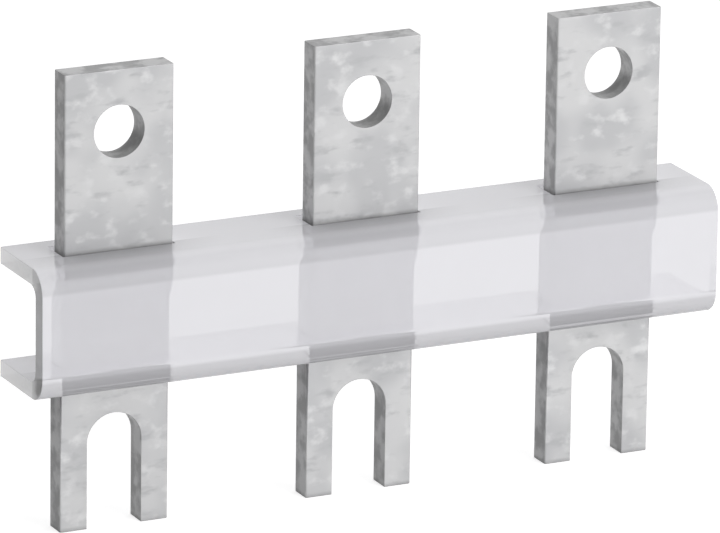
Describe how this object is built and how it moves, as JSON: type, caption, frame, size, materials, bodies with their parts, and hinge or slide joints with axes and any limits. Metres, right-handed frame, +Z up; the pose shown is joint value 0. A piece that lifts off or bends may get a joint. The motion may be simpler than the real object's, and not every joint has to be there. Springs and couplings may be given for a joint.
{
  "type": "connecting busbar",
  "caption": "Row of joggled, tin-plated copper bars with a bolt hole at the top and an open fork below, held side by side in slots of a clear C-section insulating cover.",
  "frame": {"origin": "centre of the middle bar's bolt hole, on the tab's rear contact face", "axes": "+X along the row of bars to the right seen from the front, +Y to the back, +Z up towards the bolted tabs"},
  "size_m": [0.1244, 0.0175, 0.0791],
  "materials": {
    "clear_cover": "gloss",
    "tinned_copper": "satin"
  },
  "bodies": {
    "root": {"insulating_cover": "clear_cover", "busbar_l1": "tinned_copper", "busbar_l2": "tinned_copper", "busbar_l3": "tinned_copper"}
  },
  "joints": []
}
